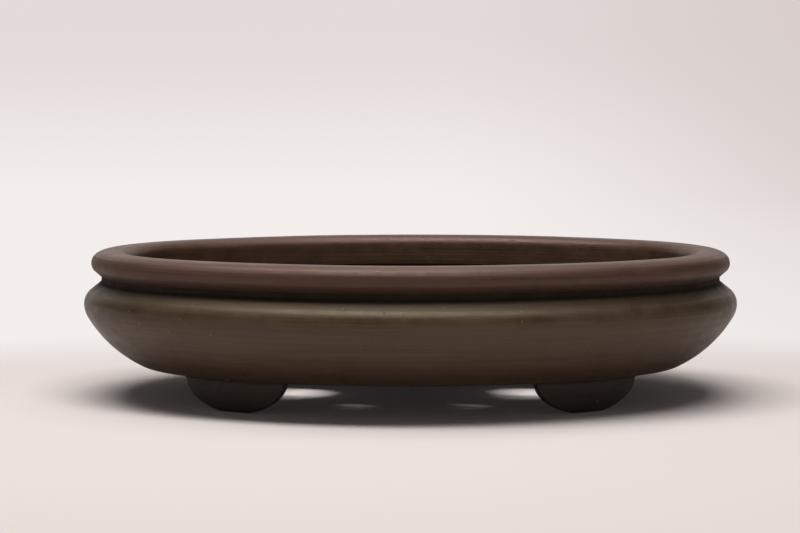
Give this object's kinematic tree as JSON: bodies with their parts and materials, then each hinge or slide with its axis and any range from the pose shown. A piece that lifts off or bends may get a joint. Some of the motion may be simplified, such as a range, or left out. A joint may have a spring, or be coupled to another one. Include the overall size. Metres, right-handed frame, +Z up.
{
  "type": "bonsai pot",
  "caption": "Shallow oval bonsai pot in unglazed brown stoneware: rolled lip, grooved neck, rounded belly, drained floor and half-moon feet.",
  "frame": {"origin": "centre of the bounding box, on the plane of the soles", "axes": "+Z up, +X along the length, -Y to the front long side"},
  "size_m": [0.256, 0.192, 0.0575],
  "materials": {
    "floor_slab": "unglazed dark brown stoneware, matt, wiped smooth",
    "flank_wall": "unglazed dark brown stoneware, matt, wiped smooth",
    "shoulder_band": "unglazed dark brown stoneware, matt, wiped smooth",
    "lip_ring": "unglazed dark brown stoneware, matt, wiped smooth",
    "foot_front_right": "unglazed dark brown stoneware, matt, wiped smooth",
    "foot_front_left": "unglazed dark brown stoneware, matt, wiped smooth",
    "foot_back_right": "unglazed dark brown stoneware, matt, wiped smooth",
    "foot_back_left": "unglazed dark brown stoneware, matt, wiped smooth"
  },
  "bodies": {
    "root": {"floor_slab": "floor_slab", "flank_wall": "flank_wall", "shoulder_band": "shoulder_band", "lip_ring": "lip_ring", "foot_front_right": "foot_front_right", "foot_front_left": "foot_front_left", "foot_back_right": "foot_back_right", "foot_back_left": "foot_back_left"}
  },
  "joints": []
}
